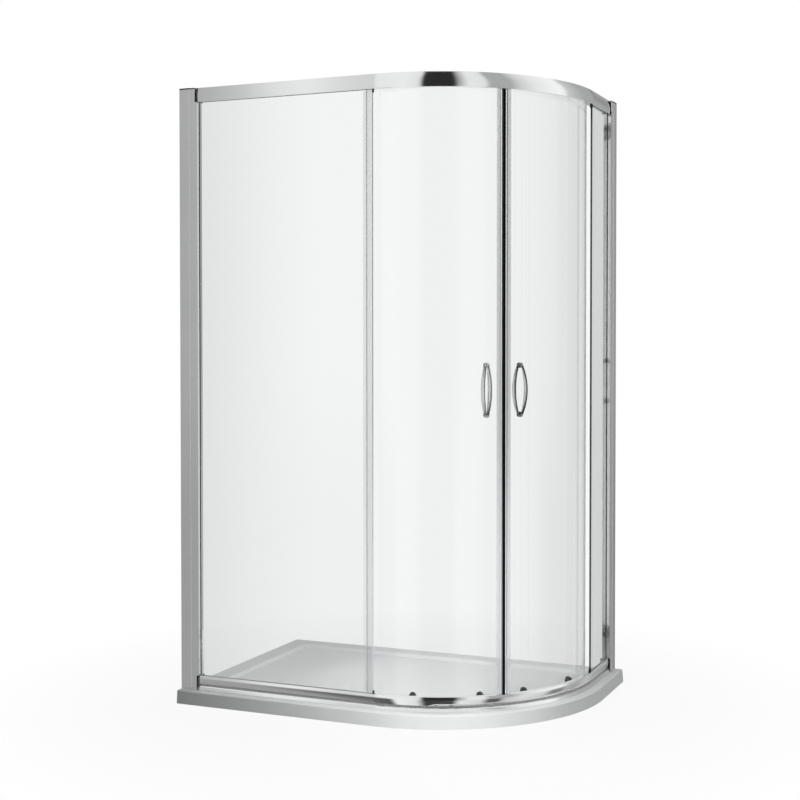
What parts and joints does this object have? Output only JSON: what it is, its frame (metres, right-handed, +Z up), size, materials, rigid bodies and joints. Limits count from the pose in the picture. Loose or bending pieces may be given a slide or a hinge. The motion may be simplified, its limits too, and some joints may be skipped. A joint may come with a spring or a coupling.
{
  "type": "quadrant shower enclosure",
  "caption": "Offset quadrant shower enclosure: low tray, chromed rails and posts, fixed side glass and curved sliding glass doors with bow handles.",
  "frame": {"origin": "on the floor under the middle of the tray's bounding rectangle", "axes": "+Z up, +X along the long side away from its wall, -Y towards the room; walls at x = -0.6 and y = +0.4"},
  "size_m": [1.2, 0.8, 1.89],
  "materials": {
    "stone_resin": "smooth matt gelcoat",
    "polished_aluminium": "polished and chromed",
    "chrome_plate": "mirror chrome",
    "glass": "clear, 6 mm toughened",
    "white_pvc": "translucent white",
    "clear_pvc": "clear, slightly blue",
    "magnet_black": "black magnetic strip",
    "dark_plastic": "moulded, near black",
    "grey_plastic": "moulded",
    "nylon": "white nylon",
    "rubber": "grey elastomer",
    "steel": "stainless"
  },
  "bodies": {
    "enclosure": {"bottom_rail": "polished_aluminium", "bracket_screws": "steel", "channel_cap_left": "dark_plastic", "channel_cap_right": "dark_plastic", "door_buffers": "rubber", "fixed_glass_left": "glass", "fixed_glass_right": "glass", "glass_stop_clips": "dark_plastic", "post_cap_left": "grey_plastic", "post_cap_right": "grey_plastic", "post_gasket_left": "rubber", "post_gasket_right": "rubber", "post_screws": "steel", "rail_bracket_bottom_left": "dark_plastic", "rail_bracket_bottom_right": "dark_plastic", "rail_bracket_top_left": "dark_plastic", "rail_bracket_top_right": "dark_plastic", "rail_gasket_left": "rubber", "rail_gasket_right": "rubber", "setting_blocks": "rubber", "shower_tray": "stone_resin", "side_post_left": "polished_aluminium", "side_post_right": "polished_aluminium", "slot_infills": "polished_aluminium", "top_rail": "polished_aluminium", "wall_channel_left": "polished_aluminium", "wall_channel_right": "polished_aluminium", "waste_body": "grey_plastic", "waste_gasket": "rubber"},
    "waste_cover": {"waste_cover": "chrome_plate"},
    "left_door": {"left_door_glass": "glass", "left_magnet_carrier": "white_pvc", "left_magnet_strip": "magnet_black", "left_trailing_seal": "clear_pvc", "left_handle_outer": "chrome_plate", "left_handle_inner": "chrome_plate", "left_handle_fixings": "steel", "left_top_hangers": "chrome_plate", "left_bottom_housings": "dark_plastic"},
    "left_top_wheel_front": {"left_top_wheel_front": "nylon"},
    "left_bottom_release_front": {"left_bottom_release_front": "dark_plastic"},
    "left_bottom_wheel_front": {"left_bottom_wheel_front": "nylon"},
    "left_top_wheel_rear": {"left_top_wheel_rear": "nylon"},
    "left_bottom_release_rear": {"left_bottom_release_rear": "dark_plastic"},
    "left_bottom_wheel_rear": {"left_bottom_wheel_rear": "nylon"},
    "right_door": {"right_door_glass": "glass", "right_magnet_carrier": "white_pvc", "right_magnet_strip": "magnet_black", "right_trailing_seal": "clear_pvc", "right_handle_outer": "chrome_plate", "right_handle_inner": "chrome_plate", "right_handle_fixings": "steel", "right_top_hangers": "chrome_plate", "right_bottom_housings": "dark_plastic"},
    "right_top_wheel_front": {"right_top_wheel_front": "nylon"},
    "right_bottom_release_front": {"right_bottom_release_front": "dark_plastic"},
    "right_bottom_wheel_front": {"right_bottom_wheel_front": "nylon"},
    "right_top_wheel_rear": {"right_top_wheel_rear": "nylon"},
    "right_bottom_release_rear": {"right_bottom_release_rear": "dark_plastic"},
    "right_bottom_wheel_rear": {"right_bottom_wheel_rear": "nylon"}
  },
  "joints": [
    {"name": "waste_cover_lift", "type": "slide", "parent": "enclosure", "child": "waste_cover", "axis": [0, 0, 1], "range_m": [0, 0.012]},
    {"name": "left_door_slide", "type": "hinge", "parent": "enclosure", "child": "left_door", "pos_m": [0.05, 0.15, 0], "axis": [0, 0, -1], "range_deg": [0, 20]},
    {"name": "left_top_wheel_front_spin", "type": "hinge", "parent": "left_door", "child": "left_top_wheel_front", "pos_m": [0.34327, -0.24778, 1.86155], "axis": [0.5934, -0.8049, 0], "continuous": true},
    {"name": "left_bottom_release_front_push", "type": "slide", "parent": "left_door", "child": "left_bottom_release_front", "axis": [0, 0, -1], "range_m": [0, 0.0045], "stiffness_N_per_m": 600, "springref_m": -0.004},
    {"name": "left_bottom_wheel_front_spin", "type": "hinge", "parent": "left_bottom_release_front", "child": "left_bottom_wheel_front", "pos_m": [0.34327, -0.24778, 0.05955], "axis": [0.5934, -0.8049, 0], "continuous": true},
    {"name": "left_top_wheel_rear_spin", "type": "hinge", "parent": "left_door", "child": "left_top_wheel_rear", "pos_m": [0.15612, -0.33267, 1.86155], "axis": [0.2147, -0.9767, 0], "continuous": true},
    {"name": "left_bottom_release_rear_push", "type": "slide", "parent": "left_door", "child": "left_bottom_release_rear", "axis": [0, 0, -1], "range_m": [0, 0.0045], "stiffness_N_per_m": 600, "springref_m": -0.004},
    {"name": "left_bottom_wheel_rear_spin", "type": "hinge", "parent": "left_bottom_release_rear", "child": "left_bottom_wheel_rear", "pos_m": [0.15612, -0.33267, 0.05955], "axis": [0.2147, -0.9767, 0], "continuous": true},
    {"name": "right_door_slide", "type": "hinge", "parent": "enclosure", "child": "right_door", "pos_m": [0.05, 0.15, 0], "axis": [0, 0, 1], "range_deg": [0, 20]},
    {"name": "right_top_wheel_front_spin", "type": "hinge", "parent": "right_door", "child": "right_top_wheel_front", "pos_m": [0.44778, -0.14327, 1.86155], "axis": [0.8049, -0.5934, 0], "continuous": true},
    {"name": "right_bottom_release_front_push", "type": "slide", "parent": "right_door", "child": "right_bottom_release_front", "axis": [0, 0, -1], "range_m": [0, 0.0045], "stiffness_N_per_m": 600, "springref_m": -0.004},
    {"name": "right_bottom_wheel_front_spin", "type": "hinge", "parent": "right_bottom_release_front", "child": "right_bottom_wheel_front", "pos_m": [0.44778, -0.14327, 0.05955], "axis": [0.8049, -0.5934, 0], "continuous": true},
    {"name": "right_top_wheel_rear_spin", "type": "hinge", "parent": "right_door", "child": "right_top_wheel_rear", "pos_m": [0.53267, 0.04388, 1.86155], "axis": [0.9767, -0.2147, 0], "continuous": true},
    {"name": "right_bottom_release_rear_push", "type": "slide", "parent": "right_door", "child": "right_bottom_release_rear", "axis": [0, 0, -1], "range_m": [0, 0.0045], "stiffness_N_per_m": 600, "springref_m": -0.004},
    {"name": "right_bottom_wheel_rear_spin", "type": "hinge", "parent": "right_bottom_release_rear", "child": "right_bottom_wheel_rear", "pos_m": [0.53267, 0.04388, 0.05955], "axis": [0.9767, -0.2147, 0], "continuous": true}
  ],
  "couplings": [
    {"joint": "left_top_wheel_front_spin", "follows": "left_door_slide", "ratio": 58.141},
    {"joint": "left_bottom_wheel_front_spin", "follows": "left_door_slide", "ratio": -70.6},
    {"joint": "left_top_wheel_rear_spin", "follows": "left_door_slide", "ratio": 58.141},
    {"joint": "left_bottom_wheel_rear_spin", "follows": "left_door_slide", "ratio": -70.6},
    {"joint": "right_top_wheel_front_spin", "follows": "right_door_slide", "ratio": -58.141},
    {"joint": "right_bottom_wheel_front_spin", "follows": "right_door_slide", "ratio": 70.6},
    {"joint": "right_top_wheel_rear_spin", "follows": "right_door_slide", "ratio": -58.141},
    {"joint": "right_bottom_wheel_rear_spin", "follows": "right_door_slide", "ratio": 70.6}
  ]
}
